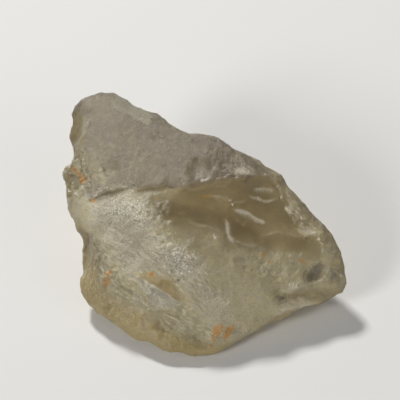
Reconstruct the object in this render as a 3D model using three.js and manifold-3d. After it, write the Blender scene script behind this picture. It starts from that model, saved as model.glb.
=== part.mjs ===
// A hand specimen of desert glass: one natural piece of pale yellow silica glass, frosted by
// wind-blown sand and chipped along its edges. It lies on a flat foot, with its broad face
// sloping up from the front edge to a crest at the back.
//
// Millimetres, +Z up. The origin is on the table, under the middle of the specimen's bounding box.

import * as THREE from "three";
import { mergeVertices } from "three/addons/utils/BufferGeometryUtils.js";
import Module from "manifold-3d";

const wasm = await Module();
wasm.setup();

// ---- Driving dimensions -------------------------------------------------------------------

const LEAN = 45; // degrees that the sheet on which the corners are set out leans back
const PARTS_PER_EDGE = 6; // how finely the corner net is divided
const WEAR_PASSES = 4; // sand-blasting that rounds every edge
const WEAR_SHARE = 0.45; // how far each of those passes moves a point towards its neighbours
const LATE_WEAR_PASSES = 2; // sand-blasting that softens the hollows
const LATE_WEAR_SHARE = 0.3; // the same for those passes
const WEAR_ALLOWANCE = 0.32; // what the stone stands out by before the wear, which takes it off the rim
const SWELL = 0.07; // height of the gentle waves that a broken glass face keeps
const TABLE = [80, 80, 20]; // the block under the specimen that trims its foot flat
const DUST = 1e-4; // points closer than this are one point

// The corners are set out on a sheet that leans back with the broad face: `across` to the right,
// `up` the sheet from the front edge, and the third number is the corner's height over the table.
const radians = THREE.MathUtils.degToRad;
const SHEET_UP = new THREE.Vector3(0, Math.sin(radians(LEAN)), Math.cos(radians(LEAN)));
const SHEET_OUT = new THREE.Vector3(0, -SHEET_UP.z, SHEET_UP.y);

const corner = ([across, up, height]) =>
  new THREE.Vector3(across, (up - height * SHEET_UP.z) / SHEET_UP.y, height);

// The rim, where the broad face meets the underside, clockwise from the rounded lobe at the top left.
const RIM = [
  [-12.5, 31.6, 14.8], [-10.6, 31.5, 15.1], [-8.6, 30.6, 15.2], [-7.4, 29.6, 15.2],
  [-5.5, 29.1, 15.0], [-3.9, 27.7, 15.0], [-2.3, 26.7, 14.8], [-0.6, 26.6, 14.6],
  [1.2, 25.9, 14.2], [3.8, 24.7, 13.6], [6.9, 23.6, 12.8], [8.9, 21.9, 12.0],
  [9.8, 20.1, 11.4], [12.5, 17.6, 9.6], [15.7, 14.4, 7.4], [16.6, 11.4, 5.6],
  [17.1, 8.5, 4.0], [16.4, 7.3, 3.3], [14.7, 6.3, 2.8], [11.1, 5.6, 2.0],
  [9.7, 4.5, 1.8], [7.4, 3.8, 1.4], [4.5, 2.3, 1.0], [1.1, 0.4, 0.7],
  [-1.9, -0.2, 0.6], [-5.2, 0.1, 0.7], [-7.7, 1.7, 0.9], [-9.7, 3.1, 1.1],
  [-11.2, 4.2, 1.3], [-12.7, 4.9, 1.5], [-13.7, 6.1, 1.9], [-14.6, 7.6, 2.5],
  [-14.8, 9.5, 3.2], [-14.3, 10.4, 3.6], [-14.9, 12.4, 4.4], [-14.9, 13.9, 5.0],
  [-15.8, 16.2, 6.1], [-16.5, 19.2, 7.4], [-17.4, 22.0, 8.6], [-15.9, 24.2, 9.8],
  [-16.7, 26.6, 11.0], [-16.5, 29.0, 12.6], [-15.0, 30.8, 13.8],
];

// Corners of the ridges and flats on the broad face.
const FACE = [
  // the upper flat, from the lobe along the crest
  [-13.5, 29.6, 14.9], [-9.9, 28.8, 15.4], [-6.4, 26.7, 15.1], [-2.3, 24.6, 14.7],
  [1.2, 23.8, 14.2], [5.4, 22.2, 13.1], [-14.1, 26.7, 13.3], [-14.9, 24.4, 12.0],
  [-11.1, 24.4, 14.0], [-7.0, 22.6, 13.7], [-2.3, 21.3, 13.3], [1.8, 21.1, 13.0],
  [6.8, 21.3, 12.5],
  // the lump at the left and the foot of the upper flat
  [-13.2, 22.2, 12.4], [-15.1, 19.1, 9.4], [-12.3, 19.5, 11.5], [-8.8, 19.9, 12.4],
  [-4.6, 20.0, 12.7],
  // the worn ridge that runs down to the front edge
  [-12.9, 17.5, 10.9], [-9.4, 16.7, 11.7], [-5.8, 13.8, 10.5], [-2.3, 10.5, 8.4],
  [0.1, 7.3, 6.2], [0.9, 3.8, 3.4],
  // the slope to the left of that ridge
  [-11.7, 12.6, 8.3], [-12.9, 9.1, 5.4], [-8.8, 8.5, 6.3], [-11.7, 6.7, 4.1],
  [-6.4, 4.9, 4.1], [-2.3, 2.6, 2.6], [-4.6, 8.5, 6.7],
  // the inner edge of the steep strip down the left side
  [-14.4, 16.7, 9.2], [-13.2, 14.4, 8.6], [-13.5, 11.2, 6.4], [-13.7, 8.3, 4.3],
  // the hollowed ground to the right
  [-0.5, 18.5, 12.1], [3.6, 17.9, 11.3], [7.5, 18.9, 11.1], [9.8, 16.7, 9.6],
  [5.4, 14.8, 9.7], [1.2, 14.4, 10.1], [9.5, 13.2, 8.2], [12.6, 13.8, 8.0],
  // the smooth face that runs down to the right tip, and the flat below its ridge
  [4.8, 10.8, 7.9], [9.5, 8.5, 5.6], [13.6, 10.2, 5.9], [14.8, 8.9, 4.8],
  [7.1, 7.3, 5.2], [11.2, 6.7, 3.6], [4.8, 5.5, 4.4], [3.6, 3.2, 2.4],
  // the bevel along the crest
  [8.3, 20.8, 12.1], [11.2, 17.1, 10.1], [13.4, 14.0, 8.2], [14.8, 11.2, 6.3],
  [15.9, 9.1, 4.6],
];

// Corners of the foot, a little below the table so that it is trimmed flat, and of the steep back.
const BACK = [
  [-9.0, 3.9, -0.5], [2.6, 2.4, -0.5], [8.6, 5.8, -0.5], [8.0, 10.3, -0.5],
  [-2.0, 15.9, -0.5], [-11.0, 14.6, -0.4], [-12.0, 7.5, -0.4], [-2.0, 8.1, -0.6],
  [-12.0, 24.0, 6.0], [-4.0, 24.4, 6.5], [3.0, 20.2, 5.0], [10.0, 14.8, 4.0],
  [13.5, 8.7, 1.8], [-15.0, 18.0, 3.5], [-10.0, 28.6, 11.0], [1.0, 24.7, 10.0],
  [9.0, 19.1, 8.5],
];

// Hollows left where chips came away, softened by wear. `at` is across and up the sheet, `half` is
// half the length and half the width, and `turn` lies the length anticlockwise of across. Where two
// overlap, a ridge is left between them.
const FACE_HOLLOWS = [
  // the cluster of glassy hollows under the crest
  { name: "brow", at: [1.8, 19.3], half: [4.6, 1.5], depth: 0.55, turn: 4 },
  { name: "eye", at: [6.9, 19.5], half: [3.0, 1.8], depth: 0.95, turn: -10 },
  { name: "slot", at: [7.0, 17.2], half: [3.8, 1.5], depth: 1.0, turn: -25 },
  { name: "basin", at: [6.2, 15.1], half: [4.2, 2.0], depth: 1.0, turn: -10 },
  { name: "pan", at: [-0.8, 16.9], half: [5.0, 2.3], depth: 0.55, turn: -10 },
  { name: "bevel_foot", at: [11.2, 15.0], half: [3.4, 1.3], depth: 0.4, turn: -52 },
  // the slopes that run down to the right tip and to the front edge
  { name: "slide", at: [9.4, 11.2], half: [6.2, 2.7], depth: 0.65, turn: -22 },
  { name: "window", at: [13.2, 10.0], half: [2.3, 1.5], depth: 0.65, turn: 24 },
  { name: "ledge", at: [12.4, 7.2], half: [3.8, 1.3], depth: 0.4, turn: 10 },
  { name: "nick", at: [8.9, 7.3], half: [1.5, 1.0], depth: 0.5, turn: 60 },
  { name: "apron", at: [2.4, 8.6], half: [4.6, 2.6], depth: 0.4, turn: -40 },
  { name: "front_flake", at: [4.6, 4.8], half: [4.0, 1.8], depth: 0.45, turn: 28 },
  { name: "left_slope", at: [-9.4, 12.4], half: [5.4, 2.8], depth: 0.6, turn: -56 },
  // flakes off the slope above the front edge
  { name: "feather", at: [-5.1, 8.2], half: [4.0, 1.2], depth: 0.6, turn: -33 },
  { name: "quill", at: [-8.0, 6.8], half: [2.6, 1.0], depth: 0.4, turn: -42 },
  { name: "scallop_long", at: [-4.6, 3.9], half: [3.4, 1.1], depth: 0.45, turn: -22 },
  { name: "scallop_short", at: [-0.6, 2.4], half: [1.9, 0.9], depth: 0.35, turn: -35 },
  { name: "corner_flake", at: [-11.6, 7.6], half: [2.2, 1.2], depth: 0.4, turn: -60 },
  // the upper flat, the edge of the lump and the step across the flat's foot
  { name: "upper_flat", at: [-6.4, 24.6], half: [5.8, 2.9], depth: 0.4, turn: -24 },
  { name: "dent", at: [-0.8, 22.3], half: [2.2, 1.2], depth: 0.5, turn: -58 },
  { name: "crease", at: [-11.2, 22.4], half: [2.4, 1.0], depth: 0.5, turn: -62 },
  { name: "step_left", at: [-10.6, 19.1], half: [3.4, 1.3], depth: 0.5, turn: 9 },
  { name: "step_right", at: [-5.6, 18.9], half: [3.8, 1.4], depth: 0.5, turn: 7 },
  // the lobe, and chips along the crest and down the left side
  { name: "lobe_dent", at: [-13.6, 28.8], half: [1.4, 0.9], depth: 0.4, turn: -40 },
  { name: "lobe_side", at: [-15.6, 27.0], half: [3.0, 1.4], depth: 0.8, turn: 80 },
  { name: "crest_glint", at: [-8.7, 29.9], half: [2.0, 0.9], depth: 0.5, turn: -32 },
  { name: "crest_flute", at: [6.0, 23.0], half: [2.8, 1.2], depth: 0.35, turn: -30 },
  { name: "side_chip_top", at: [-15.8, 23.2], half: [1.5, 1.0], depth: 0.5, turn: 70 },
  { name: "side_chip_low", at: [-16.0, 20.2], half: [1.7, 1.0], depth: 0.5, turn: -80 },
  { name: "side_strip", at: [-14.4, 12.6], half: [3.2, 1.1], depth: 0.45, turn: 82 },
];
const BACK_HOLLOWS = [
  { name: "back_left", at: [-9.0, 26.4], half: [5.2, 3.0], depth: 0.9, turn: -14 },
  { name: "back_middle", at: [-0.6, 21.0], half: [4.0, 4.4], depth: 0.7, turn: -30 },
  { name: "back_right", at: [7.4, 18.6], half: [5.4, 2.4], depth: 0.8, turn: -36 },
  { name: "back_low", at: [4.6, 14.6], half: [5.0, 2.2], depth: 0.6, turn: -20 },
  { name: "back_tip", at: [13.0, 11.2], half: [4.2, 2.0], depth: 0.6, turn: -52 },
  { name: "back_corner", at: [-12.6, 21.8], half: [3.8, 2.4], depth: 0.7, turn: 64 },
  { name: "under_left", at: [-14.2, 15.6], half: [4.0, 1.6], depth: 0.5, turn: 80 },
  { name: "under_front", at: [-11.5, 6.8], half: [2.8, 1.2], depth: 0.4, turn: -30 },
];

// ---- The corner net -----------------------------------------------------------------------

// Delaunay triangles over points [across, up], by adding one point at a time inside a triangle
// that is far bigger than the stone.
function net(points) {
  const FAR = 1e3;
  const all = [...points, [-FAR, -FAR], [FAR, -FAR], [0, FAR]];
  const n = points.length;
  let triangles = [[n, n + 1, n + 2]];
  points.forEach(([x, y], added) => {
    const hit = triangles.filter((t) => inCircle(x, y, ...t.map((i) => all[i])));
    const edges = hit.flatMap(([a, b, c]) => [[a, b], [b, c], [c, a]]);
    const outer = edges.filter(([a, b]) => !edges.some(([c, d]) => c === b && d === a));
    triangles = triangles.filter((t) => !hit.includes(t));
    triangles.push(...outer.map(([a, b]) => [a, b, added]));
  });
  return triangles.filter((t) => t.every((i) => i < n));
}

// True if (x, y) is inside the circle through three points given anticlockwise.
function inCircle(x, y, ...corners) {
  const [a, b, c] = corners.map(([px, py]) => {
    const dx = px - x;
    const dy = py - y;
    return [dx, dy, dx * dx + dy * dy];
  });
  return (
    a[0] * (b[1] * c[2] - b[2] * c[1]) -
      a[1] * (b[0] * c[2] - b[2] * c[0]) +
      a[2] * (b[0] * c[1] - b[1] * c[0]) > 0
  );
}

// True if the middle of a triangle lies within the rim.
function withinRim(triangle, points) {
  const x = triangle.reduce((sum, i) => sum + points[i][0], 0) / 3;
  const y = triangle.reduce((sum, i) => sum + points[i][1], 0) / 3;
  let inside = false;
  RIM.forEach(([ax, ay], i) => {
    const [bx, by] = RIM[(i + 1) % RIM.length];
    if (ay > y !== by > y && x < ax + ((y - ay) / (by - ay)) * (bx - ax)) inside = !inside;
  });
  return inside;
}

// One side of the stone as triangles of corners, facing out of the sheet or away from it.
function side(inner, facesOut) {
  const points = [...RIM, ...inner];
  return net(points)
    .filter((t) => withinRim(t, points))
    .map((t) => (facesOut ? t : [...t].reverse()).map((i) => corner(points[i])));
}

// Each triangle divided into n * n smaller ones.
function divided(triangles, n) {
  const places = [];
  for (const [a, b, c] of triangles) {
    const at = (i, j) =>
      a.clone().multiplyScalar(n - i - j).addScaledVector(b, i).addScaledVector(c, j)
        .divideScalar(n);
    for (let i = 0; i < n; i++)
      for (let j = 0; j < n - i; j++) {
        places.push(at(i, j), at(i + 1, j), at(i, j + 1));
        if (i + j < n - 1) places.push(at(i + 1, j), at(i + 1, j + 1), at(i, j + 1));
      }
  }
  return mergeVertices(new THREE.BufferGeometry().setFromPoints(places), DUST);
}

// ---- Wear and waves -----------------------------------------------------------------------

// Moves each point towards the mean of its neighbours, as blown sand rounds an edge.
function worn(geometry, passes, share) {
  const { position } = geometry.attributes;
  const neighbours = Array.from({ length: position.count }, () => new Set());
  const order = geometry.index.array;
  for (let i = 0; i < order.length; i += 3)
    for (let k = 0; k < 3; k++) {
      neighbours[order[i + k]].add(order[i + ((k + 1) % 3)]);
      neighbours[order[i + ((k + 1) % 3)]].add(order[i + k]);
    }
  for (let pass = 0; pass < passes; pass++) {
    const before = neighbours.map((_, i) => new THREE.Vector3().fromBufferAttribute(position, i));
    neighbours.forEach((around, i) => {
      const mean = new THREE.Vector3();
      around.forEach((j) => mean.add(before[j]));
      const moved = before[i].clone().lerp(mean.divideScalar(around.size), share);
      position.setXYZ(i, ...moved);
    });
  }
  return geometry;
}

// Gentle waves in the surface, from 4 to 8 mm long.
function swell({ x, y, z }) {
  return (
    Math.sin(0.8 * x + 0.5 * y + 1.1) * Math.sin(0.7 * y - 0.6 * z + 0.4) +
    0.5 * Math.sin(1.4 * x - 1.0 * z + 2.0) * Math.sin(1.3 * y + 0.9 * x)
  );
}

// How deep the hollows go at a place whose surface faces `out`.
function hollow(place, out) {
  const list = out.dot(SHEET_OUT) > 0 ? FACE_HOLLOWS : BACK_HOLLOWS;
  const deep = list.map(({ at: [across, up], half: [long, wide], depth, turn }) => {
    const cos = Math.cos(radians(turn));
    const sin = Math.sin(radians(turn));
    const da = place.x - across;
    const du = place.dot(SHEET_UP) - up;
    const along = (da * cos + du * sin) / long;
    const over = (du * cos - da * sin) / wide;
    return depth * (1 - along ** 2 - over ** 2);
  });
  return Math.max(0, ...deep);
}

// Moves each point outwards by the height that `heightAt` gives for its place and normal.
function raised(geometry, heightAt) {
  geometry.computeVertexNormals();
  const { position, normal } = geometry.attributes;
  for (let i = 0; i < position.count; i++) {
    const place = new THREE.Vector3().fromBufferAttribute(position, i);
    const out = new THREE.Vector3().fromBufferAttribute(normal, i);
    position.setXYZ(i, ...place.addScaledVector(out, heightAt(place, out)));
  }
  geometry.deleteAttribute("normal");
  return geometry;
}

// ---- Solids -------------------------------------------------------------------------------

function solidOf(geometry) {
  const bare = new THREE.BufferGeometry();
  bare.setAttribute("position", geometry.attributes.position);
  bare.setIndex(geometry.index);
  const { index, attributes } = mergeVertices(bare, DUST);
  return new wasm.Manifold(
    new wasm.Mesh({
      numProp: 3,
      vertProperties: new Float32Array(attributes.position.array),
      triVerts: new Uint32Array(index.array),
    }),
  );
}

function geometryOf(solid) {
  const { numProp, vertProperties, triVerts } = solid.getMesh();
  const places = new Float32Array((vertProperties.length / numProp) * 3);
  for (let i = 0; i * numProp < vertProperties.length; i++)
    places.set(vertProperties.subarray(i * numProp, i * numProp + 3), i * 3);
  return new THREE.BufferGeometry()
    .setAttribute("position", new THREE.BufferAttribute(places, 3))
    .setIndex(new THREE.BufferAttribute(triVerts, 1));
}

// ---- The specimen -------------------------------------------------------------------------

const cornered = divided([...side(FACE, true), ...side(BACK, false)], PARTS_PER_EDGE);
const rounded = worn(raised(cornered, () => WEAR_ALLOWANCE), WEAR_PASSES, WEAR_SHARE);
const hollowed = raised(rounded, (place, out) => SWELL * swell(place) - hollow(place, out));
const blank = worn(hollowed, LATE_WEAR_PASSES, LATE_WEAR_SHARE);

// The foot: everything below the table is taken off.
const table = new THREE.BoxGeometry(...TABLE).translate(0, 0, -TABLE[2] / 2);
const stone = geometryOf(solidOf(blank).subtract(solidOf(table)));

stone.computeBoundingBox();
const middle = stone.boundingBox.getCenter(new THREE.Vector3());
stone.translate(-middle.x, -middle.y, 0);
stone.computeVertexNormals();

const glass = new THREE.Mesh(
  stone,
  new THREE.MeshStandardMaterial({ color: 0x9c9274, roughness: 0.6, metalness: 0 }),
);
glass.name = "desert_glass";

const specimen = new THREE.Group();
specimen.add(glass);
export default specimen;
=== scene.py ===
# %% [markdown]
# # A desert glass specimen
#
# Desert glass is natural silica glass. A piece of it is broken out of a larger lump, and then
# lies in the desert for a very long time, where blown sand wears its edges round and frosts
# its faces. This one is about 34 mm long: a pale khaki piece with a broad face that slopes up
# to a crest, glassy hollows under the crest, and a few orange stains of iron.
#
# The solid model already has the lumps, ledges and hollows. This lesson gives it the finer
# shape that a hand lens shows, and the look of worn, cloudy glass.

# %% Load the solid model
import math

import bpy
import numpy as np
from mathutils import Matrix, Vector, noise


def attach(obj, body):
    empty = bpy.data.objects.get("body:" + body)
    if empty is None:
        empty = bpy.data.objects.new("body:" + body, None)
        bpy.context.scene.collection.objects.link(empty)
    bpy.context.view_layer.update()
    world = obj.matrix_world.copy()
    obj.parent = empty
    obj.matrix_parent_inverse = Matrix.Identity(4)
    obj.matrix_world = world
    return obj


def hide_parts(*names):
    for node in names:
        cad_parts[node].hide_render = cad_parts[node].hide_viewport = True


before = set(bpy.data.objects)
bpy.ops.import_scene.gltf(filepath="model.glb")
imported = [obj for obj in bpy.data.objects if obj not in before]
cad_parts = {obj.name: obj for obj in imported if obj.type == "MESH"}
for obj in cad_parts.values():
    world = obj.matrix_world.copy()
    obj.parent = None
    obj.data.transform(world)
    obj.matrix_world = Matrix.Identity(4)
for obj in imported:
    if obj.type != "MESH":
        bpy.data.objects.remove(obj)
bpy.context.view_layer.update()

MM = 0.001

# %% [markdown]
# ## The sheet
#
# Every feature of the broad face is set out on an imaginary sheet that leans back 45 degrees
# with it: so many millimetres across, and so many up the sheet from the front edge. The camera
# looks at this sheet square on, so one sheet millimetre is 8.5 pixels of a 400-pixel picture.

# %% Lay out the sheet
LEAN = math.radians(45)
SHEET_CORNER = Vector((0.123, -14.756, 0)) * MM  # where the sheet's zero point meets the table
ACROSS = Vector((1, 0, 0))
UP_SHEET = Vector((0, math.sin(LEAN), math.cos(LEAN)))
OUT_OF_SHEET = Vector((0, -math.cos(LEAN), math.sin(LEAN)))


def on_sheet(places):
    """The sheet coordinates, in mm, of places given in metres as rows of x, y, z."""
    places = np.asarray(places) - np.array(SHEET_CORNER)
    return places @ np.array(ACROSS) / MM, places @ np.array(UP_SHEET) / MM


print("the sheet leans back", round(math.degrees(LEAN)), "degrees")

# %% [markdown]
# ## The camera
#
# A small stone is looked at from some way off through a long lens, so that it isn't distorted.
# The lens follows from the sensor, the distance and the size of the picture on the sheet.

# %% Set up the camera
PIXELS_PER_MM = 8.5
PICTURE = 400  # pixels on a side
PICTURE_MIDDLE = (-0.53, 18.47)  # where the sheet is at the middle of the picture, in mm
MIDDLE_HEIGHT = 10 * MM
DISTANCE = 450 * MM
SENSOR = 36  # mm

aim = SHEET_CORNER + (ACROSS * PICTURE_MIDDLE[0] + UP_SHEET * PICTURE_MIDDLE[1]) * MM
aim += OUT_OF_SHEET * ((MIDDLE_HEIGHT - aim.z) / OUT_OF_SHEET.z)
bpy.ops.object.camera_add(location=aim + OUT_OF_SHEET * DISTANCE)
camera = bpy.context.object
camera.rotation_euler = OUT_OF_SHEET.to_track_quat("Z", "Y").to_euler()
camera.data.sensor_width = SENSOR
camera.data.lens = SENSOR * DISTANCE / (PICTURE / PIXELS_PER_MM * MM)
bpy.context.scene.camera = camera
print("camera lens, in mm:", round(camera.data.lens, 1))

# %% [markdown]
# ## A finer skin
#
# The solid model has faces of about a millimetre. A voxel remesh of a copy gives an even skin
# that is fine enough for small scars, and a few rounds of smoothing take off the solid model's
# flat facets. Subdividing would keep its uneven triangles, and they would show in the gloss.

# %% Copy the solid model's mesh
VOXEL = 0.172 * MM  # a point about every sixth of a millimetre
SAME_POINT = 0.001 * MM  # corners closer than this are joined

bpy.ops.object.select_all(action="DESELECT")
stone = bpy.data.objects.new("desert_glass_stone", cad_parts["desert_glass"].data.copy())
bpy.context.scene.collection.objects.link(stone)
stone.select_set(True)
bpy.context.view_layer.objects.active = stone
stone.data.materials.clear()
bpy.ops.object.mode_set(mode="EDIT")
bpy.ops.mesh.select_all(action="SELECT")
bpy.ops.mesh.remove_doubles(threshold=SAME_POINT)
bpy.ops.object.mode_set(mode="OBJECT")


def finish_with(kind, **settings):
    """Adds a modifier to the stone, sets it and applies it."""
    bpy.ops.object.modifier_add(type=kind)
    modifier = stone.modifiers[-1]
    for name, value in settings.items():
        setattr(modifier, name, value)
    bpy.ops.object.modifier_apply(modifier=modifier.name)


finish_with("REMESH", mode="VOXEL", voxel_size=VOXEL)
finish_with("SMOOTH", factor=0.5, iterations=6)  # takes off the steps that voxels leave
print("stone:", len(stone.data.vertices), "points", len(stone.data.polygons), "faces")

# %% [markdown]
# ## Reading the surface
#
# The next steps press scars into the surface and decide where it is frosted. Both need to know,
# for every point of the mesh, where it lies on the sheet and how squarely it faces out of it.
# Straight edges and perfect ellipses would look machined, so each point first wanders a little
# from its true place by a cloudy noise, and every edge drawn on the sheet wavers with it.

# %% Read every point's place
WANDER = ((3.0, 0.3), (0.8, 0.07))  # the size of the clouds and how far they move a place, in mm
ANOTHER_NOISE = 50  # mm to step aside in a noise for a second one that is unlike it
TURN_AWAY = 4  # how fast the front gives way to the sides as the surface turns from the sheet


def clouds(places, size, octaves=2):
    """A cloudy noise between about -0.5 and 0.5, with lumps of a size in mm.

    Each further octave adds lumps that are half as large and half as strong.
    """
    return np.array([noise.fractal(place, 1, 2, octaves) for place in (places / size).tolist()])


def read_points():
    """Every point's place in mm, its normal, and its place on the sheet, wandering a little."""
    mesh = stone.data
    spots = np.empty(len(mesh.vertices) * 3)
    mesh.vertices.foreach_get("co", spots)
    spots = spots.reshape(-1, 3)
    normals = np.empty(len(mesh.vertices) * 3)
    mesh.vertex_normals.foreach_get("vector", normals)
    across, up = on_sheet(spots)
    spots = spots / MM
    for size, reach in WANDER:
        across = across + reach * clouds(spots, size)
        up = up + reach * clouds(spots + ANOTHER_NOISE, size)
    return spots, normals.reshape(-1, 3), across, up


spots, normals, across, up = read_points()
front = np.clip(normals @ np.array(OUT_OF_SHEET) * TURN_AWAY, 0, 1)
seen = front > 0
print("points that face the sheet's front:", int(seen.sum()))

# %% [markdown]
# ## Shapes on the sheet
#
# Three shapes are enough to set out every feature: a shallow bowl for a flake scar, a tapering
# ledge for a worn edge or a crack, and a closed outline for a zone of one finish. Each gives a
# number for every point of the mesh at once, so they can be mixed like colours.

# %% Make bowls and ledges
TAPER = 7  # a ledge runs out over about a sixth of its length at each end


def bowl(at, half, turn=0):
    """1 in the middle of an ellipse on the sheet, 0 on its edge, and less than 0 outside."""
    cos, sin = math.cos(math.radians(turn)), math.sin(math.radians(turn))
    da, du = across - at[0], up - at[1]
    along, over = (da * cos + du * sin) / half[0], (du * cos - da * sin) / half[1]
    return 1 - along ** 2 - over ** 2


def nearest_on(line):
    """Each point's distance from a line on the sheet, which side it is on, and how far along."""
    nearest = np.full(across.shape, np.inf)
    left = np.zeros(across.shape, bool)
    along = np.zeros(across.shape)
    for step, ((ax, ay), (bx, by)) in enumerate(zip(line, line[1:])):
        dx, dy = bx - ax, by - ay
        part = np.clip(((across - ax) * dx + (up - ay) * dy) / (dx * dx + dy * dy), 0, 1)
        away = np.hypot(across - ax - part * dx, up - ay - part * dy)
        closer = away < nearest
        nearest[closer] = away[closer]
        left[closer] = (dx * (up - ay) - dy * (across - ax) > 0)[closer]
        along[closer] = ((step + part) / (len(line) - 1))[closer]
    return nearest, left, along


def ledge(line, left_width, right_width):
    """1 along a line on the sheet, falling to 0 at a width on each side and at its two ends."""
    nearest, left, along = nearest_on(line)
    taper = np.clip(TAPER * along * (1 - along), 0, 1)
    return taper * np.clip(1 - nearest / np.where(left, left_width, right_width), 0, 1)


print("each shape gives", len(across), "numbers, one for a point")


# %% Make outlines
def outline(corners, soft):
    """1 inside a closed outline on the sheet, falling to 0 over an edge of a width in mm."""
    closed = corners + corners[:1]
    nearest = nearest_on(closed)[0]
    inside = np.zeros(across.shape, bool)
    for (ax, ay), (bx, by) in zip(closed, closed[1:]):
        crossed = (ay > up) != (by > up)  # a level edge is never crossed
        inside ^= crossed & (across < ax + (bx - ax) * (up - ay) / (by - ay or 1))
    return np.clip(0.5 + np.where(inside, nearest, -nearest) / soft, 0, 1) * front


def largest(shapes):
    """The largest of several shapes at each point."""
    return np.maximum.reduce(list(shapes))


def within(shapes, edge=0.5):
    """1 inside any of several ellipses, falling to 0 over a share of each at its edge."""
    return np.clip(largest(bowl(*shape) for shape in shapes) / edge, 0, 1) * front


try_out = [((0, 15), (5, 5))]  # a circle 10 mm across
print("points in a circle 10 mm across:", int((within(try_out) > 0).sum()))

# %% [markdown]
# ## Glassy hollows
#
# The hollows under the crest are the faces that sand has touched least, so they are smoothed a
# good deal more than the rest. A Smooth modifier can do that to one part of a mesh, as much as
# a vertex group says. A smooth patch made apart and joined on would leave a seam.

# %% Smooth the glassy hollows
BASIN = [
    (-1.9, 19.6), (0.1, 20.4), (2.4, 20.7), (5.4, 20.8), (7.0, 21.2), (8.6, 20.6), (9.1, 19.4),
    (9.4, 18.0), (10.3, 16.8), (11.2, 15.4), (13.1, 14.2), (13.6, 13.1), (12.6, 11.6),
    (10.8, 12.4), (8.4, 12.6), (6.3, 13.2), (4.9, 13.3), (3.2, 13.6), (2.5, 14.7), (1.1, 14.9),
    (-0.8, 14.9), (-2.8, 15.4), (-4.4, 16.7), (-4.3, 18.6), (-3.0, 19.4),
]
# the long flake at the lower left has a hollow and a bright, feathered lip
FLAKE_HOLLOW = [
    (-8.2, 10.0), (-6.3, 10.2), (-3.9, 8.9), (-1.9, 6.8), (-2.9, 6.7), (-4.8, 7.9), (-6.6, 9.0),
]
FEATHER = [
    (-8.1, 9.8), (-7.4, 8.0), (-6.6, 6.6), (-5.5, 6.0), (-4.0, 5.9), (-2.4, 6.4), (-4.3, 7.6),
    (-6.4, 8.8),
]
FLAKE_SMOOTHING = 0.18  # of what the glassy hollows get

glassy = outline(BASIN, 1.0)
flake_bed = np.maximum(outline(FEATHER, 1.6), outline(FLAKE_HOLLOW, 1.6))
soft = stone.vertex_groups.new(name="soft")
for index, weight in enumerate(np.maximum(glassy, FLAKE_SMOOTHING * flake_bed).tolist()):
    soft.add([index], weight, "REPLACE")
finish_with("SMOOTH", factor=0.5, iterations=300, vertex_group="soft")
stone.vertex_groups.clear()
print("points in the glassy hollows:", int((glassy > 0.5).sum()))

# %% [markdown]
# ## Flake scars
#
# A blow takes a flake off glass and leaves a shallow scar. Sculpting the scars by hand would
# work too, but a list of places is easier to check and to change. Each point is pushed along
# its own normal by a Displace modifier, again as far as a vertex group says.

# %% Press the scars in
SCARS = [
    # the glassy hollows under the crest: place, half length and width, turn, depth
    ((6.8, 20.1), (2.3, 1.2), -2, 0.08),
    ((2.0, 19.7), (3.2, 0.8), 6, 0.08),
    ((7.2, 17.7), (3.2, 1.1), -20, 0.08),
    ((5.2, 15.1), (3.0, 1.5), -10, 0.06),
    ((-0.6, 17.4), (2.6, 1.5), -4, 0.06),
    ((9.8, 15.9), (1.4, 0.8), -30, 0.1),
    ((10.2, 13.3), (3.6, 1.0), -6, 0.1),
    # the slope to the right tip
    ((12.7, 9.9), (1.9, 1.1), 25, 0.1),
    ((11.8, 6.9), (2.6, 1.0), 8, 0.12),
    ((8.8, 7.4), (0.7, 0.5), 60, 0.2),
    # flakes above the front edge
    ((-5.0, 8.9), (3.1, 0.9), -33, 0.05),
    ((-8.5, 7.9), (1.2, 0.5), -60, 0.18),
    ((-7.4, 7.2), (1.3, 0.5), -50, 0.18),
    ((-4.4, 4.6), (1.6, 0.6), -32, 0.2),
    ((-1.9, 4.1), (1.1, 0.6), -38, 0.2),
    ((0.0, 2.4), (1.3, 0.5), -30, 0.15),
    # the foot of the upper flat, the lump and the lobe
    ((-1.0, 22.2), (0.9, 1.5), -20, 0.15),
    ((-11.6, 19.1), (2.6, 0.6), 12, 0.15),
    ((-6.0, 19.7), (2.8, 0.6), 9, 0.15),
    ((-13.6, 28.6), (0.8, 0.6), -40, 0.2),
    ((-12.4, 28.9), (0.4, 0.35), 60, 0.12),
    ((-15.0, 28.0), (1.5, 0.7), 80, 0.15),
]
FOOT_RIM = 0.6  # mm above the table where the full depth is reached, so that the foot stays flat


def press(depths):
    """Pushes the surface in by a depth in mm at each point, or out where it is less than 0."""
    depths = depths * np.clip(spots[:, 2] / FOOT_RIM, 0, 1)
    low, high = depths.min(), depths.max()
    group = stone.vertex_groups.new(name="pressed")
    for index, part in enumerate(((depths - low) / (high - low)).tolist()):
        group.add([index], part, "REPLACE")
    finish_with("DISPLACE", strength=-(high - low) * MM, mid_level=0, vertex_group="pressed")
    if low < 0:
        finish_with("DISPLACE", strength=-low * MM, mid_level=0)
    stone.vertex_groups.clear()


scars = largest(depth * np.clip(bowl(*scar), 0, 1) for *scar, depth in SCARS)
press(front * scars)
print("scars:", len(SCARS))
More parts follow.
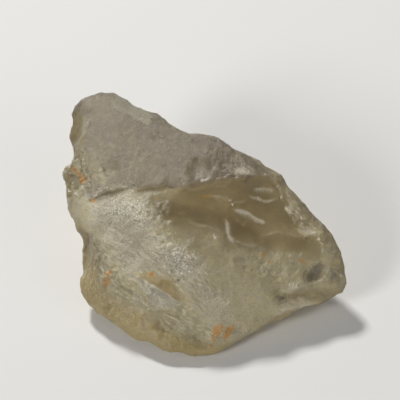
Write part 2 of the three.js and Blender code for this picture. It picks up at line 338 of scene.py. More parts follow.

# %% [markdown]
# ## Worn edges and cracks
#
# Where two scars meet there is an edge. Sand rounds it, and each edge also says how strong a
# painted highlight it gets: a paler colour where it would catch the light. A crack is the same
# shape the other way round: a thin groove.
# Bevelling the mesh's own edges would need them to be in the mesh, and these scars have none.

# %% Raise the worn edges between the scars
EDGES = [
    # round the glassy hollows: a line on the sheet, its width on the left and right, its height
    # and how strong a painted highlight it gets
    ([(5.6, 19.6), (7.0, 19.8), (8.5, 19.5)], 0.4, 0.55, 0.1, 0.9),
    ([(5.1, 19.1), (5.8, 18.8), (6.6, 18.5), (7.4, 18.4), (8.6, 18.6)], 0.2, 0.25, 0.1, 1),
    ([(0.2, 18.7), (1.4, 18.8), (2.5, 18.6), (3.7, 18.1)], 0.25, 0.5, 0.1, 0.6),
    ([(3.4, 18.0), (4.2, 18.2), (5.1, 18.3)], 0.15, 0.3, 0.08, 0.5),
    ([(3.5, 17.5), (4.9, 16.8), (6.1, 16.3), (7.4, 15.6)], 0.35, 0.6, 0.12, 1.3),
    ([(2.35, 16.4), (2.6, 15.0), (3.0, 14.1), (3.6, 13.5)], 0.5, 0.2, 0.12, 1.3),
    ([(3.3, 13.9), (4.6, 13.5), (6.2, 13.1)], 0.25, 0.25, 0.08, 0.7),
    ([(6.2, 14.1), (7.6, 14.3), (8.9, 14.6), (9.6, 14.3)], 0.4, 0.15, 0.06, 0.5),
    ([(9.4, 14.4), (11.2, 14.3), (13.1, 14.7)], 0.8, 0.15, 0.08, 0.6),
    ([(11.8, 8.4), (13.2, 8.9), (14.1, 9.7), (14.8, 10.6)], 0.1, 0.35, 0.08, 0.6),
    ([(-2.6, 16.3), (-1.2, 15.7), (0.2, 15.4), (1.4, 14.9)], 0.2, 0.3, 0.06, 0.5),
    ([(1.2, 20.0), (2.4, 20.2), (3.2, 20.6)], 0.15, 0.2, 0.06, 0.5),
    ([(-2.6, 19.8), (-1.0, 19.6), (0.6, 20.2), (2.0, 20.6)], 0.2, 0.2, 0.06, 0.5),
    # along the inner side of the crest
    ([(7.9, 21.3), (8.6, 20.5), (8.9, 19.3), (9.1, 18.0)], 0.6, 0.15, 0.1, 0.5),
    ([(8.9, 18.2), (9.6, 17.4), (10.3, 16.6), (10.8, 15.6), (11.9, 15.2), (13.4, 15.2)],
     0.5, 0.15, 0.1, 0.6),
    ([(13.2, 15.0), (13.6, 14.0), (13.8, 13.2), (15.2, 11.9)], 0.4, 0.15, 0.1, 0.5),
    # the flakes and the front edge
    ([(-8.1, 9.8), (-6.4, 8.8), (-4.3, 7.6), (-2.4, 6.4)], 0.15, 0.9, 0.12, 0.8),
    ([(-5.0, 4.1), (-3.8, 3.4)], 0.25, 0.25, 0.12, 0.7),
    ([(-9.4, 8.2), (-8.3, 7.3), (-7.4, 6.5)], 0.1, 0.3, 0.1, 0.7),
    ([(-2.6, 4.8), (-1.1, 3.6)], 0.15, 0.3, 0.1, 0.7),
    ([(9.0, 7.6), (11.6, 8.4), (13.4, 8.9), (14.4, 10.0)], 0.25, 0.4, 0.12, 0.6),
    ([(7.5, 4.7), (9.5, 5.6), (11.2, 6.0), (14.2, 6.7)], 0.4, 0.4, 0.1, 0.6),
    ([(-13.1, 28.6), (-14.0, 26.9), (-14.9, 24.6)], 0.15, 0.5, 0.15, 0.5),
]
CRACKS = [
    # a line on the sheet, its width on the left and right, its depth
    ([(-12.8, 24.0), (-11.8, 22.2), (-11.0, 21.0)], 0.15, 0.15, 0.08),
    ([(-15.2, 23.9), (-14.9, 22.2), (-14.2, 20.5)], 0.25, 0.25, 0.1),
    ([(-14.6, 18.4), (-12.6, 19.2), (-10.9, 19.6), (-8.2, 20.0)], 0.2, 0.8, 0.1),
    ([(-8.8, 19.2), (-6.4, 19.9), (-4.6, 20.1), (-2.8, 20.0)], 0.2, 0.8, 0.1),
    ([(4.8, 13.0), (6.8, 11.2), (7.9, 9.8), (9.5, 8.1)], 0.1, 0.1, 0.04),
    ([(11.7, 8.7), (11.8, 9.9), (12.8, 10.3)], 0.12, 0.12, 0.05),
]
raised = largest(height * ledge(*edge) for *edge, height, _ in EDGES)
cracked = largest(depth * ledge(*crack) for *crack, depth in CRACKS)
press(front * (cracked - raised))
print("worn edges:", len(EDGES), "cracks:", len(CRACKS))

# %% [markdown]
# ## Weathering
#
# Under a hand lens the whole surface is scalloped where small flakes came away, streaked along
# the glass's own flow, and pitted by sand. Three noises give that at their real sizes: touching
# scoops from a Voronoi pattern, drawn-out streaks, and small clouds. Stronger settings soon look
# like popcorn, so the depths stay at a tenth or two of a millimetre.

# %% Say where it is weathered
# each place is an ellipse on the sheet: its middle, its half length and width, and its turn
STREAKED = [((-9.5, 12.0), (5.0, 7.0), 0), ((-3.0, 8.5), (6.0, 4.0), -35)]
FLAKED = [
    ((-9.5, 6.5), (4.5, 2.6), -30),
    ((-2.0, 3.6), (4.5, 2.0), -15),
    ((-13.4, 11.0), (1.6, 5.0), 0),
    ((11.5, 16.5), (1.6, 4.0), 40),
    ((3.0, 22.0), (3.5, 1.2), -8),
]
PITTED = [((-8.8, 17.4), (5.0, 2.2), -10), ((-3.0, 11.4), (2.8, 2.2), -40),
          ((-10.8, 18.6), (2.4, 0.8), 10)]
# the broken ground round the lump and the knob at the left
HACKLY = [
    (-17.2, 24.4), (-15.6, 24.8), (-14.2, 24.4), (-13.7, 22.0), (-13.5, 20.4), (-14.2, 18.7),
    (-17.0, 18.7),
]
STREAK_TURN = -38  # degrees, the way the glass once flowed
RIDGE_BEND = 0.4  # how far the ridges between scoops are bent, as a share of a scoop's size
RIDGE_AWAY = 0.6  # the square of a ridge's distance from the middle of a scoop of size 1


def streaks(turn, length, width):
    """A noise drawn out along one direction on the sheet."""
    cos, sin = math.cos(math.radians(turn)), math.sin(math.radians(turn))
    along, over = across * cos + up * sin, up * cos - across * sin
    return clouds(np.stack([along / length, over / width, 0 * along], 1), 1, 3)


def scoops(size):
    """1 in the middle of each of many touching scoops of a size in mm, 0 on the ridges."""
    bent = np.stack([clouds(spots + aside, size, 2) for aside in (0, 100, 200)], 1)
    shifted = spots + RIDGE_BEND * size * bent
    return np.array([1 - noise.voronoi(place)[0][0] ** 2 / RIDGE_AWAY
                     for place in (shifted / size).tolist()])


print("streaked, flaked and pitted places:", len(STREAKED), len(FLAKED), len(PITTED))

# %% Weather the whole surface
STREAK_RELIEF = 0.12  # mm, and so are the next two
BROKEN_RELIEF = 0.5
PIT_DEPTH = 0.2

# worn and scalloped add depths in mm times scoops or clouds of a size in mm
flake = np.maximum(outline(FEATHER, 0.6), outline(FLAKE_HOLLOW, 0.6))
worn = 0.22 * scoops(3.4) + 0.09 * scoops(1.2) + 0.06 * clouds(spots, 0.45, 3)
scalloped = 0.18 * scoops(1.6) + 0.1 * scoops(0.8)
drawn = streaks(STREAK_TURN, 2.6, 0.4)
broken = np.abs(clouds(spots, 0.9, 2))
holes = np.clip(clouds(spots, 0.35, 1) - 0.05, 0, 1)
press((1 - 0.8 * glassy) * worn
      + np.where(seen, within(FLAKED), 0.6) * scalloped
      + within(STREAKED) * (1 - flake) * STREAK_RELIEF * drawn
      + outline(HACKLY, 0.8) * BROKEN_RELIEF * broken
      + within(PITTED) * PIT_DEPTH * holes)
bpy.ops.object.shade_smooth()
print("weathered:", len(stone.data.vertices), "points")

# %% [markdown]
# ## Zones of finish
#
# The same glass looks different where it is worn in a different way. Flaked hollows stay clear
# and brown, sand-blown faces are a pinkish grey frost, bruised ground is white, thin edges glow
# like honey, and iron has stained a few cracks orange. Each zone is kept on the mesh as a named
# attribute, and the glass's nodes read it there. An image could hold them too, but attributes
# need no file and stay with the mesh. First come the outlines of the frosted and white zones.

# %% Outline the frosted and the white ground
# the upper flat, a face that sand has frosted evenly
FLAT = [
    (-17.0, 32.6), (-6.4, 32.6), (1.2, 27.9), (7.5, 22.2), (8.6, 20.8), (6.8, 21.4), (5.4, 20.8),
    (2.4, 20.8), (0.1, 20.5), (-1.5, 19.8), (-3.5, 20.0), (-5.7, 19.9), (-7.6, 19.6),
    (-9.2, 20.0), (-10.9, 19.6), (-12.5, 19.2), (-13.9, 18.7), (-14.6, 20.4), (-14.2, 23.2),
    (-14.4, 25.5), (-14.2, 28.1), (-15.8, 29.1),
]
# the bruised ground across the middle, and its tongue towards the front edge
WHITE = [
    (-14.4, 19.4), (-12.3, 20.2), (-9.0, 20.6), (-7.8, 20.2), (-7.2, 18.4), (-6.6, 17.0),
    (-5.0, 15.2), (-2.2, 13.8), (-0.1, 12.4), (0.4, 10.2), (-0.5, 8.6), (-2.9, 9.3), (-4.8, 10.2),
    (-6.6, 9.5), (-8.8, 9.1), (-9.9, 10.5), (-10.9, 12.6), (-12.3, 14.7), (-13.9, 15.9),
]
LOW_WHITE = [
    (-2.9, 8.6), (0.2, 9.1), (2.4, 7.8), (4.0, 5.8), (3.6, 3.2), (1.8, 3.4), (-0.1, 4.6),
    (-1.5, 6.2),
]
# the milky ground round that tongue
LOW_MILKY = [(2.0, 10.4), (8.4, 8.4), (9.6, 5.0), (4.6, 2.4), (1.1, 1.8), (-1.0, 3.4), (0.2, 6.0)]
# a painted highlight along the top of the lobe, laid on as white
LOBE_HIGHLIGHT = [
    (-11.2, 30.6), (-10.8, 29.5), (-9.4, 28.9), (-8.0, 28.2), (-6.4, 27.6), (-6.2, 28.6),
    (-8.0, 30.2), (-10.0, 31.4),
]
# an evenly milky place in the white ground, where the pits are worn away
SMOOTH_WORN = [
    (-10.5, 14.4), (-8.8, 15.0), (-7.0, 14.2), (-6.9, 11.6), (-8.0, 10.8), (-9.9, 11.4),
]
# small bruises: middle, half length and width, turn
BRUISED = [
    ((-3.0, 11.2), (2.6, 1.8), -40), ((-8.0, 7.2), (1.2, 0.7), -50),
    ((-5.2, 7.2), (1.6, 0.6), -32), ((9.7, 17.4), (0.8, 0.5), -40),
    ((11.9, 14.9), (1.4, 0.6), -10), ((4.4, 22.0), (1.8, 0.9), -10),
    ((10.6, 6.0), (3.6, 1.0), 12), ((10.0, 8.2), (1.3, 0.8), 30), ((-13.8, 15.4), (0.8, 1.2), 20),
    ((-13.0, 17.9), (1.3, 0.6), 10), ((-4.4, 16.0), (0.6, 0.4), 0), ((4.6, 3.0), (2.4, 0.9), 25),
]
print("small bruises:", len(BRUISED))

# %% [markdown]
# ## Clear and thin places
#
# Where the skin is still smooth, or the stone is thin, light goes through instead of being
# spread back, and the glass's own brown and honey colours show.

# %% Outline the clear and the thin places
# the clear brown hollows, and streaks of the same brown through the white ground
BROWN = [
    (-2.8, 15.4), (-4.6, 16.7), (-4.5, 18.8), (-2.8, 20.6), (0.1, 21.6), (2.4, 21.9), (5.4, 22.0),
    (7.4, 22.2), (9.4, 21.0), (9.9, 19.4), (10.2, 18.0), (11.0, 16.8), (12.4, 15.6), (13.9, 13.8),
    (13.7, 12.6), (12.6, 11.6), (10.8, 12.4), (8.4, 12.6), (6.3, 13.2), (3.2, 13.4), (1.1, 14.9),
]
BROWN_STREAKS = [
    (-6.9, 14.7), (-4.1, 15.5), (-0.5, 14.0), (0.2, 11.9), (-1.0, 11.6), (-2.9, 13.1),
    (-5.2, 12.4), (-6.6, 11.2), (-7.2, 12.6),
]
# a strip under the step of the upper flat, kept less white: painted shade of the step, which
# also lets more light through; and the lump at its left end
SHADE_UNDER_FLAT = [(-9.4, 20.4), (-5.6, 19.8), (-3.4, 16.2), (-5.2, 15.8), (-8.6, 18.2)]
LUMP = [
    (-14.2, 22.4), (-13.4, 23.6), (-12.2, 23.6), (-11.2, 22.0), (-10.9, 20.4), (-12.2, 19.8),
    (-13.8, 20.4),
]
# the left side of the lobe, the knob under it and the edge below that
LOBE_SIDE = [
    (-16.3, 30.5), (-14.6, 30.2), (-14.4, 28.4), (-14.2, 25.5), (-15.1, 24.4), (-16.8, 24.4),
    (-17.0, 27.9),
]
KNOB = [(-17.4, 23.0), (-15.4, 22.8), (-15.4, 18.8), (-17.4, 18.8)]
LEFT_EDGE = [
    (-15.8, 15.5), (-13.5, 15.2), (-11.9, 13.4), (-11.5, 10.8), (-12.6, 9.8), (-14.6, 11.2),
    (-15.8, 13.0),
]
# a line down the far side of the crest
CREST_SIDE = [(8.4, 21.6), (10.2, 19.6), (12.2, 17.4), (14.2, 15.2), (15.6, 12.4), (16.2, 9.8)]
CREST_WIDTH = 1.2  # mm, about how far the zone reaches to each side of that line
# the slope to the right tip, its end, and the scooped facet under it
TIP = [
    (3.7, 13.1), (6.5, 12.6), (12.6, 11.6), (16.0, 10.5), (16.6, 8.2), (11.2, 7.9), (8.9, 7.6),
    (6.8, 9.5), (4.6, 11.2),
]
TIP_END = [(11.0, 11.2), (15.4, 11.2), (16.4, 8.5), (11.6, 8.2)]
UNDER_TIP = [
    (9.4, 7.2), (11.2, 7.9), (14.8, 8.6), (17.1, 9.1), (17.1, 6.7), (10.1, 4.6), (7.7, 4.1),
]
# windows near the tip, where the glass is thin and clean, with painted shade: dark grey for the
# dark seen through them
SHADED_WINDOWS = [
    [(11.6, 8.6), (11.9, 9.6), (12.6, 11.0), (13.7, 11.3), (14.4, 10.4), (13.5, 9.3), (12.4, 8.5)],
    [(14.2, 9.6), (14.8, 10.4), (15.5, 10.0), (15.8, 9.2), (14.9, 8.8), (14.4, 9.2)],
    [(8.4, 7.1), (9.6, 7.5), (9.4, 6.5), (8.6, 6.2)],
]
# the thin front edge
THIN_EDGE = [
    (-14.4, 15.5), (-13.4, 11.2), (-12.4, 8.8), (-11.2, 7.0), (-9.2, 6.2), (-7.0, 5.0),
    (-4.6, 3.5), (-1.7, 2.2), (1.1, 1.4), (3.2, 1.9), (2.5, 0.1), (-1.7, -0.4), (-6.4, 0.6),
    (-11.1, 2.6), (-14.6, 5.5), (-15.8, 9.1), (-15.6, 15.5),
]
print("windows:", len(SHADED_WINDOWS))

# %% [markdown]
# ## Stains, chips and specks
#
# Iron-rich water has left orange stains in a few cracks, small chips get painted glints, and a
# few dark grains are caught in the skin. They are small, and the eye looks for them one by one,
# so each has its own place here instead of coming from a noise.

# %% Place the stains, chips and specks
STAINED = [
    # middle, half length and width, turn
    ((-11.5, 9.0), (1.1, 0.4), 62),
    ((-11.0, 9.9), (0.6, 0.3), 50),
    ((-6.1, 9.9), (0.45, 0.3), 20),
    ((6.9, 12.2), (0.5, 0.22), -30),
    ((7.7, 11.3), (0.3, 0.25), 0),
    ((11.3, 11.4), (0.45, 0.4), -50),
    ((11.6, 11.1), (0.3, 0.2), -40),
    ((1.4, 3.0), (1.5, 0.4), 74),
    ((2.0, 3.4), (1.0, 0.3), 70),
    ((2.8, 3.1), (1.3, 0.5), 62),
    ((0.8, 1.5), (0.3, 0.25), 60),
    ((-15.3, 21.8), (1.8, 0.3), -42),
    ((-14.7, 20.6), (0.6, 0.2), -70),
    ((-13.2, 18.7), (0.6, 0.3), 10),
    ((0.3, 18.7), (0.6, 0.2), 0),
]
# each chip gets a painted glint, a pale spot in the colour, and its own broken facets in the bump
GLINTING_CHIPS = [
    (-14.6, 23.4), (-14.8, 22.9), (-15.2, 19.2), (-14.5, 20.0), (-3.9, 9.4), (1.1, 14.4),
    (1.3, 14.1), (8.6, 12.0), (10.0, 12.0), (11.1, 12.1), (13.8, 13.5), (13.9, 12.9),
    (12.2, 10.1), (16.0, 9.6), (3.0, 18.3), (3.4, 17.9), (6.2, 18.8), (2.5, 2.1), (-10.9, 11.6),
    (-13.4, 17.5), (7.2, 21.6), (11.3, 16.4), (10.6, 17.0), (12.5, 14.9), (8.9, 18.9),
    (9.9, 17.8), (11.3, 15.8), (12.9, 14.8), (13.4, 13.9), (13.8, 12.6), (8.7, 20.0),
]
CHIP = 0.2  # mm, about how far a chip reaches from its middle
DARK_SPECKS = [
    ((5.6, 10.6), (0.32, 0.1), 20), ((-3.5, 9.0), (0.25, 0.15), 0),
    ((-4.6, 22.2), (0.15, 0.12), 0), ((-3.7, 2.6), (0.16, 0.12), 0),
    ((4.8, 20.6), (0.2, 0.15), 40), ((-3.1, 9.2), (0.3, 0.2), -30),
]
glinting_chips = front * largest(
    np.clip(1.6 - 1.3 * np.hypot(across - x, up - y) / CHIP, 0, 1) for x, y in GLINTING_CHIPS)
print("stains:", len(STAINED), "chips:", len(GLINTING_CHIPS), "dark specks:", len(DARK_SPECKS))

# %% [markdown]
# ## Mixing the zones
#
# A zone is the largest of its outlines, each with a strength and a softness in mm. A strength
# over 1 makes the zone solid where the glass's own pattern would break it up. The back and the
# sides have the same finishes, but in patches that a cloudy noise sets out.

# %% Mix the white zone
patchy = clouds(spots, 1.2, 3)
left_edge = outline(LEFT_EDGE, 1.6)
tip = outline(TIP, 1.5)
white_ground = outline(WHITE, 2.4)

white = largest([
    white_ground,
    0.9 * outline(LOW_WHITE, 1.6),
    0.4 * outline(LOW_MILKY, 3.0),
    0.9 * within(BRUISED, 0.9),
    1.7 * outline(FEATHER, 0.5),
    # the lobe's top gets a painted highlight, laid on as white
    1.7 * outline(LOBE_HIGHLIGHT, 0.9),
    0.3 * tip])
# less white under the step of the upper flat: painted shade
white = (white - 0.3 * left_edge - 0.4 * outline(SHADE_UNDER_FLAT, 1.6)
         + 0.5 * outline(SMOOTH_WORN, 2.0) - 0.5 * outline(BROWN_STREAKS, 1.2)
         - 0.4 * outline(FLAKE_HOLLOW, 0.5))
white = np.where(seen, white, 0.5 + 0.8 * patchy)
print("mostly white points:", int((white > 0.5).sum()))

# %% Mix the clear and the frosted zones
crest_side = np.clip(1.2 - nearest_on(CREST_SIDE)[0] / CREST_WIDTH, 0, 1) * front

clear = largest([
    outline(BROWN, 2.4),
    0.9 * outline(LOBE_SIDE, 0.8),
    0.3 * crest_side,
    0.35 * left_edge,
    0.35 * outline(KNOB, 1.0),
    0.5 * outline(TIP_END, 1.2),
    0.6 * outline(UNDER_TIP, 1.2)])
clear = np.where(seen, clear, 0.1 + 0.5 * patchy)

flat = largest([outline(FLAT, 0.8) - 0.45 * outline(LUMP, 2.0), 0.5 * crest_side, 0.3 * tip])
flat = np.where(seen, flat, 0)
print("mostly clear and frosted points:", [int((zone > 0.5).sum()) for zone in (clear, flat)])

# %% Mix the smaller zones
thin_edge = outline(THIN_EDGE, 1.5)
# the windows get painted shade, a dark grey colour
window = largest(outline(corners, 0.8) for corners in SHADED_WINDOWS)
# worn edges and chips get a painted highlight, a paler colour
painted_glint = np.maximum(glinting_chips, front * largest(glint_share * ledge(*edge) for *edge, _, glint_share in EDGES))
hackly = largest([outline(HACKLY, 0.6), 0.7 * glinting_chips, 0.4 * crest_side, 0.3 * within(FLAKED),
                  0.15 * white])

honey = np.maximum(thin_edge, outline(FLAKE_HOLLOW, 0.6))
honey = np.where(seen, honey, 0.25 + 0.8 * clouds(spots + 300, 3.0, 2))

pitted = largest([within(PITTED, 1), 0.6 * white_ground, 0.12 * flat, 0.2 * crest_side])
pitted = pitted - outline(SMOOTH_WORN, 2.0) - outline(FEATHER, 0.5)
pitted = np.where(seen, pitted, 0.2)

# streaks show least on the thin edge, the glassy hollows, the flat and the smoothest places
streaky = largest([within(STREAKED), within(FLAKED), 0.7 * white, 0.35 * front])
smoothest = largest([outline(FEATHER, 0.6), outline(FLAKE_HOLLOW, 0.6), outline(SMOOTH_WORN, 1.0)])
streaky = (streaky * (1 - 0.7 * thin_edge) * (1 - 0.9 * glassy) * (1 - 0.8 * flat)
           * (1 - 0.8 * smoothest))
streaky = np.where(seen, streaky, 0.6)
print("gleaming and pitted points:", [int((zone > 0.5).sum()) for zone in (painted_glint, pitted)])

# %% [markdown]
# ## Keeping the zones on the mesh
#
# Each zone becomes one attribute with a number for every point, and the nodes look it up by its
# name. Three more say how much light goes through, how grainy the frost is and how rough the
# skin is. Their strengths were found by trying: bruised glass is the least clear, and chips and
# clean windows are the glossiest.

# %% Keep the zones on the mesh
STRONGEST = 2  # a zone's strength is kept between 0 and this
ROUGHEST = 0.38  # the frost's; 0 is polished glass


def keep(name, values):
    """Keeps a value for every point on the mesh, where the glass's nodes can read it."""
    attribute = stone.data.attributes.new(name, "FLOAT", "POINT")
    attribute.data.foreach_set("value", np.clip(values, 0, STRONGEST).astype(np.float32))


keep("clear", clear)
keep("white", white)
keep("flat", flat)
keep("window", window)
keep("honey", honey)
keep("pitted", pitted)
keep("streaky", streaky)
keep("stained", within(STAINED, 0.6))
# the crack zone carries painted shade along the cracks and steps, and the real dark specks
keep("crack", np.maximum(front * largest(ledge(*crack) for *crack, _ in CRACKS),
                         within(DARK_SPECKS)))
keep("painted_glint", painted_glint)
keep("hackly", hackly)
keep("see through", (0.7 + 0.15 * clear) * (1 - 0.55 * white) * (1 - 0.2 * flat)
     * (1 - 0.3 * painted_glint) + 0.1 * window + 0.04 * thin_edge)
keep("grainy", np.maximum(0.25, 0.5 * flat + white) * (1 - 0.8 * clear))
keep("rough", (ROUGHEST - 0.1 * clear - 0.08 * thin_edge) * (1 - 0.4 * hackly)
     * (1 - 0.5 * window))
print("attributes:", [kept.name for kept in stone.data.attributes
                      if kept.data_type == "FLOAT" and kept.domain == "POINT"])

# %% [markdown]
# ## Colours and nodes
#
# Colours are written as sRGB hex numbers, as in a paint program, and turned into the linear
# light that the shader works with. One small function adds any node, so that each line below
# reads as one step of the recipe.

# %% Turn colours linear and add nodes
def linear(hex_colour):
    """A linear colour with full alpha, from an sRGB hex number."""
    channels = [(hex_colour >> shift & 255) / 255 for shift in (16, 8, 0)]
    return [c / 12.92 if c <= 0.04045 else ((c + 0.055) / 1.055) ** 2.4 for c in channels] + [1]


def add_node(kind, links=None, values=None, **settings):
    """Adds a node, with its settings, its sockets' values, and links from other sockets."""
    made = tree.nodes.new(kind)
    for name, value in settings.items():
        setattr(made, name, value)
    for name, value in (values or {}).items():
        made.inputs[name].default_value = value
    for name, source in (links or {}).items():
        tree.links.new(source, made.inputs[name])
    return made


print("a hex colour turned linear:", [round(c, 3) for c in linear(0xE8DCAC)])

# %% [markdown]
# ## Worn silica glass
#
# Desert glass is nearly pure silica, with an index of refraction of 1.46. Light goes into it,
# is spread by the frosted skin, and comes out pale khaki because the glass takes away a little
# blue on the way. So the body colour comes from absorption inside, and the skin only decides
# how much light is spread back as white. The patterns are real sizes: the grain of the frost is
# about 0.2 mm, drawn a little coarser than it is so that it shows.

# %% Make the patterns
STREAK_LENGTH = 6  # times as long as wide

# sand-worn natural glass looks soft and cloudy, with gloss left on chips and clean windows
glass = bpy.data.materials.new("worn silica glass")
glass.use_nodes = True
tree = glass.node_tree
tree.nodes.clear()
places = add_node("ShaderNodeTexCoord").outputs["Object"]
flow = Matrix.Rotation(LEAN, 3, "X") @ Matrix.Rotation(math.radians(STREAK_TURN), 3, "Z")
drawn_out = add_node("ShaderNodeMapping", {"Vector": places}, {
    "Rotation": flow.to_euler(), "Scale": (STREAK_LENGTH, 1, 1)},
    vector_type="TEXTURE").outputs["Vector"]
pattern = {}
for name, size, detail, vector in (
        # name, size in mm, detail, the coordinates that it reads
        ("patches", 1.1, 3, places),
        ("mottle", 0.7, 5, places),
        ("grain", 0.18, 3, places),  # coarser than real frost, so that it shows
        ("specks", 0.2, 1, places),  # and so are the sand pits
        ("scratches", 0.16, 3, drawn_out)):
    cloudy = add_node("ShaderNodeTexNoise", {"Vector": vector}, {
        "Scale": 1 / (size * MM), "Detail": detail, "Roughness": 0.6})
    # a noise seldom leaves 0.3 to 0.7, so that span is stretched to 0 to 1
    pattern[name] = add_node("ShaderNodeMapRange", {"Value": cloudy.outputs["Fac"]}, {
        "From Min": 0.3, "From Max": 0.7}).outputs["Result"]
print("patterns:", list(pattern))

# %% [markdown]
# ## Broken edges
#
# No finish on a worn stone stops at a clean line. A pattern is added to each zone before it is
# cut off between a low and a high value, so that the zone's edge follows the grain. A noise
# alone would put the finishes anywhere, and the zones alone would look like paint.

# %% Break up the edges of the zones
share = {}
for name, zone, broken_by, amount, low, high, most in (
        # name, zone, the pattern that breaks it, how much, where it starts and ends, its strength
        ("clear", "clear", "patches", 0.3, 0.15, 0.9, 1),
        ("white", "white", "scratches", 0.9, 0.35, 1.1, 0.85),
        ("flat", "flat", "mottle", 0.5, 0.25, 1.0, 0.85),
        ("window", "window", "scratches", 1.0, 0.5, 1.0, 0.95),
        ("honey", "honey", "patches", 0.4, 0.2, 1, 1),
        ("streaks", "streaky", "scratches", 2.0, 1.0, 1.6, 0.8),
        ("frost specks", "pitted", "specks", 2.0, 0.9, 1.3, 0.6),
        # the pits get dark specks of painted shade
        ("pit_shade", "pitted", "specks", -2.0, 0.9, 1.3, 0.45),
        ("stained", "stained", "grain", 1.2, 0.6, 1.1, 0.9),
        ("crack", "crack", "grain", 0.4, 0.2, 1, 0.8),
        ("painted_glint", "painted_glint", "grain", 0.8, 0.4, 1.0, 0.85),
        ("hackly", "hackly", "patches", 0.1, 0.05, 1, 1)):
    strength = add_node("ShaderNodeAttribute", attribute_name=zone).outputs["Fac"]
    shifted = add_node("ShaderNodeMath", {0: pattern[broken_by], 2: strength}, {1: amount},
                       operation="MULTIPLY_ADD")
    share[name] = add_node("ShaderNodeMapRange", {"Value": shifted.outputs[0]}, {
        "From Min": low + amount / 2, "From Max": high + amount / 2,
        "To Max": most}).outputs["Result"]
for name, everywhere, low, high, most in (
        # name, the pattern that it is made of, where it starts and ends, its strength
        ("freckles", "specks", 0.7, 1, 0.4),
        ("grain", "grain", 0, 1, 0.4),
        ("mottle", "mottle", 0, 1, 0.25)):
    share[name] = add_node("ShaderNodeMapRange", {"Value": pattern[everywhere]}, {
        "From Min": low, "From Max": high, "To Max": most}).outputs["Result"]
print("finishes:", list(share))

# %% [markdown]
# ## The colours of the skin
#
# The finishes lie over one another like glazes, each as strong as its share of a place. The
# broad ones come first and the small marks last, so that a stain or a chip isn't covered. One
# colour ramp would need fewer nodes, but it can only follow one zone.

# %% Lay the colours over one another
PALE_KHAKI, GREYER_KHAKI = 0xE8DCAC, 0xE0DABE  # the glass itself, in patches of two tones
GLAZES = [
    ("mottle", 0xC0B48C),  # a deeper khaki in soft clouds
    ("honey", 0xF0DA9C),  # warm where the glass is thin
    ("clear", 0xBCAC84),  # brown where little light is spread back
    ("flat", 0x8C8078),  # the pinkish grey of even frost
    ("window", 0x6C6E6C),  # painted shade: dark grey for the dark seen through a clean place
    ("streaks", 0xFFF6DC),  # fine milky lines
    ("white", 0xF2E8CE),  # bruised ground, and the painted highlight on the top of the lobe
    ("grain", 0x9C947C),  # the shadows between grains of frost
    ("freckles", 0x8C8468),  # faint darker dots
    ("pit_shade", 0x8C8670),  # painted shade in the pits that sand has left
    ("frost specks", 0xFFFCF4),  # and the bright specks between them
    ("painted_glint", 0xE6DECE),  # painted highlight: worn edges and chips made paler where they would catch the light
    ("crack", 0x7E7254),  # painted shade along the cracks and the steps, and dark grains in the skin
    ("stained", 0xEA9E30),  # iron
]
base = add_node("ShaderNodeMix", {0: pattern["patches"]}, {
    6: linear(PALE_KHAKI), 7: linear(GREYER_KHAKI)}, data_type="RGBA")
colour = base.outputs[2]
for name, hex_colour in GLAZES:
    over = add_node("ShaderNodeMix", {0: share[name], 6: colour}, {7: linear(hex_colour)},
                    data_type="RGBA")
    colour = over.outputs[2]
print("colours laid over the khaki:", len(GLAZES))

# %% [markdown]
# ## The grain of the skin
#
# What is finer than the mesh is left to bump nodes: the small facets of broken ground, the
# streaks and the grain of the frost. Each facet is a Voronoi cell that leans its own way, so it
# glints by itself. More points in the mesh could carry this too, but the piece would get heavy.

# %% Roughen the skin
FACET = 0.35  # mm across a small facet of broken ground
FACET_SLOPE = 1.2  # how steeply a facet may lean
STREAK_DEPTH = 0.07  # mm
GRAIN_DEPTH = 0.15  # mm

kept = {name: add_node("ShaderNodeAttribute", attribute_name=name).outputs["Fac"]
        for name in ("rough", "grainy", "streaky", "see through")}
cells = add_node("ShaderNodeTexVoronoi", {"Vector": places}, {"Scale": 1 / (FACET * MM)})
from_cell = add_node("ShaderNodeVectorMath", {0: places, 1: cells.outputs["Position"]},
                     operation="SUBTRACT")
# a cell's colour is random, and what is left of it without mid grey is the way that it leans
leaning = add_node("ShaderNodeVectorMath", {0: cells.outputs["Color"]}, {1: (0.5, 0.5, 0.5)},
                   operation="SUBTRACT")
facet = add_node("ShaderNodeVectorMath", {0: from_cell.outputs[0], 1: leaning.outputs[0]},
                 operation="DOT_PRODUCT")
chipped = add_node("ShaderNodeBump", {
    "Height": facet.outputs["Value"], "Strength": share["hackly"]}, {"Distance": FACET_SLOPE})
streaked = add_node("ShaderNodeBump", {
    "Height": pattern["scratches"], "Strength": kept["streaky"],
    "Normal": chipped.outputs["Normal"]}, {"Distance": STREAK_DEPTH * MM})
grained = add_node("ShaderNodeBump", {
    "Height": pattern["grain"], "Strength": kept["grainy"],
    "Normal": streaked.outputs["Normal"]}, {"Distance": GRAIN_DEPTH * MM})
print("the grain is", GRAIN_DEPTH, "mm deep")

# %% [markdown]
# ## Putting the glass together
#
# How clear a place is comes from its zone, and a little less light goes through each grain of
# frost and each milky line. One Principled shader then does the whole skin. A mix of a glass
# and a matt shader would look much the same, but a model's file keeps only the Principled one.
# The absorption inside takes most from the blue, so thick places look browner than thin ones.

# %% Put the glass together
SILICA_IOR = 1.46
KHAKI_LIGHT = (0.76, 0.6, 0.2, 1)  # what the glass lets by: most of the red, least of the blue
DENSITY = 40  # per metre, so that a thickness of a centimetre is plainly khaki

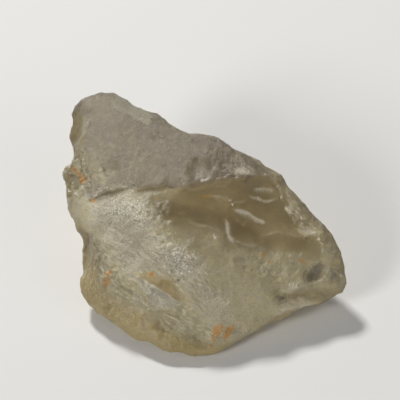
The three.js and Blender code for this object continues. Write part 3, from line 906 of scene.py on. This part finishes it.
cloudiness = add_node("ShaderNodeMapRange", {"Value": pattern["grain"]}, {
    "To Min": 1.1, "To Max": 0.8})
see_through = add_node("ShaderNodeMath", {
    0: kept["see through"], 1: cloudiness.outputs["Result"]}, operation="MULTIPLY")
lightest = add_node("ShaderNodeMath", {0: share["streaks"], 1: share["frost specks"]},
                    operation="MAXIMUM")
milkier = add_node("ShaderNodeMapRange", {"Value": lightest.outputs[0]}, {
    "To Min": 1, "To Max": 0.3})
see_through = add_node("ShaderNodeMath", {
    0: see_through.outputs[0], 1: milkier.outputs["Result"]}, operation="MULTIPLY")
shader = add_node("ShaderNodeBsdfPrincipled", {
    "Base Color": colour,
    "Transmission Weight": see_through.outputs[0],
    "Roughness": kept["rough"],
    "Normal": grained.outputs["Normal"],
}, {"IOR": SILICA_IOR})
inside = add_node("ShaderNodeVolumeAbsorption", values={"Color": KHAKI_LIGHT, "Density": DENSITY})
add_node("ShaderNodeOutputMaterial", {
    "Surface": shader.outputs["BSDF"], "Volume": inside.outputs["Volume"]})
stone.data.materials.append(glass)

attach(stone, "root")
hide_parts("desert_glass")
print("stone wears:", glass.name)

# %% [markdown]
# ## Floor and lights
#
# The floor is a plain, pale board with a matt coat of paint, so it shows the stone's shadow and
# no reflection. One soft lamp stands high on the left behind the stone and rakes across the
# broad face, so that its relief shows, and two weaker ones fill the shadows from the front. A
# lamp straight in front would be simpler, but it would flatten every scar.

# %% Set up the floor
FLOOR_SIZE = 3  # metres

bpy.ops.mesh.primitive_plane_add(size=FLOOR_SIZE, location=(0, 0, 0))
floor = bpy.context.object
floor.name = "floor"
floor_paint = bpy.data.materials.new("matt painted board")
floor_paint.use_nodes = True
paint = floor_paint.node_tree.nodes["Principled BSDF"].inputs
paint["Base Color"].default_value = linear(0xDAD8D4)  # a warm, pale grey
paint["Roughness"].default_value = 0.9  # matt, so that no lamp shows in it
floor.data.materials.append(floor_paint)
print("floor wears:", floor_paint.name)

# %% Set up the lights
STONE_MIDDLE = Vector((0, 0, 0.007))


def soft_light(name, place, size, power):
    """An area light, in metres and watts, that faces the specimen."""
    bpy.ops.object.light_add(type="AREA", location=place)
    lamp = bpy.context.object
    lamp.name = name
    lamp.data.size = size
    lamp.data.energy = power
    lamp.rotation_euler = (Vector(place) - STONE_MIDDLE).to_track_quat("Z", "Y").to_euler()


soft_light("key", (-0.20, 0.40, 0.45), 0.08, 3.6)
soft_light("left fill", (-0.45, -0.40, 0.35), 0.2, 2.3)
soft_light("right fill", (0.45, -0.40, 0.25), 0.5, 0.8)
world = bpy.data.worlds.new("studio")
bpy.context.scene.world = world
world.use_nodes = True
room_light = world.node_tree.nodes["Background"].inputs
room_light["Color"].default_value = linear(0xBDBDC0)
room_light["Strength"].default_value = 0.25
bpy.context.scene.view_settings.view_transform = "Standard"
